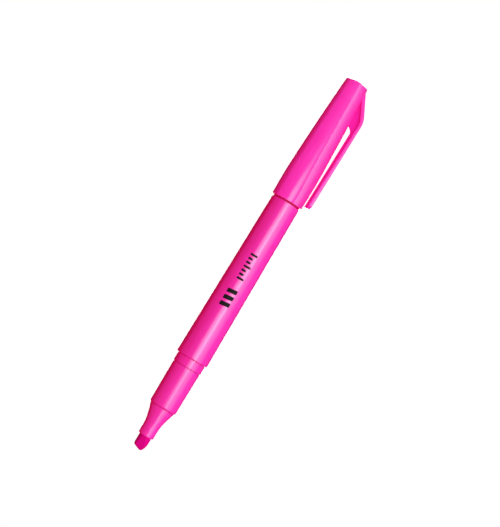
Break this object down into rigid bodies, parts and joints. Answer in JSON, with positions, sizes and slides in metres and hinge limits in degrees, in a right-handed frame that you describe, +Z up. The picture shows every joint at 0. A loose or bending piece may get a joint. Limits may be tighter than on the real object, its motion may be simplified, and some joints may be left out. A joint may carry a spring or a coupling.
{
  "type": "capped highlighter",
  "caption": "Slim capped highlighter with a chisel nib, concave nose, tapered barrel, and a posted cap whose T-section pocket clip bends down from its closed end.",
  "frame": {"origin": "bottom centre of the bounding box of the pen lying on a flat surface with its cap posted", "axes": "+X along the pen from the nib towards the cap's closed end, +Z up, clip low on the -Y side"},
  "size_m": [0.1458, 0.0144, 0.0117],
  "materials": {
    "pink_barrel": "gloss, fluorescent pink, injection moulded",
    "pink_cap": "gloss, fluorescent pink, injection moulded",
    "nib_fibre": "ink-soaked pressed fibre",
    "ink_fibre": "ink-soaked fibre core",
    "clear_film": "thin clear film",
    "liner_plastic": "natural satin",
    "print_ink": "black pad print, on the visual model only"
  },
  "bodies": {
    "pen": {"barrel": "pink_barrel", "front_section": "pink_barrel", "nib": "nib_fibre", "ink_reservoir": "ink_fibre", "reservoir_sleeve": "clear_film", "rear_plug": "pink_barrel"},
    "cap": {"cap": "pink_cap", "inner_cap": "liner_plastic"},
    "clip": {"clip_arm": "pink_cap"}
  },
  "joints": [
    {"name": "cap_pull", "type": "slide", "parent": "pen", "child": "cap", "axis": [1, 0, 0], "range_m": [0, 0.04]},
    {"name": "clip_flex", "type": "hinge", "parent": "cap", "child": "clip", "pos_m": [0.0564, -0.00635, 0.00178], "axis": [0, -0.4657, 0.885], "range_deg": [0, 6], "stiffness_Nm_per_rad": 1.5}
  ]
}
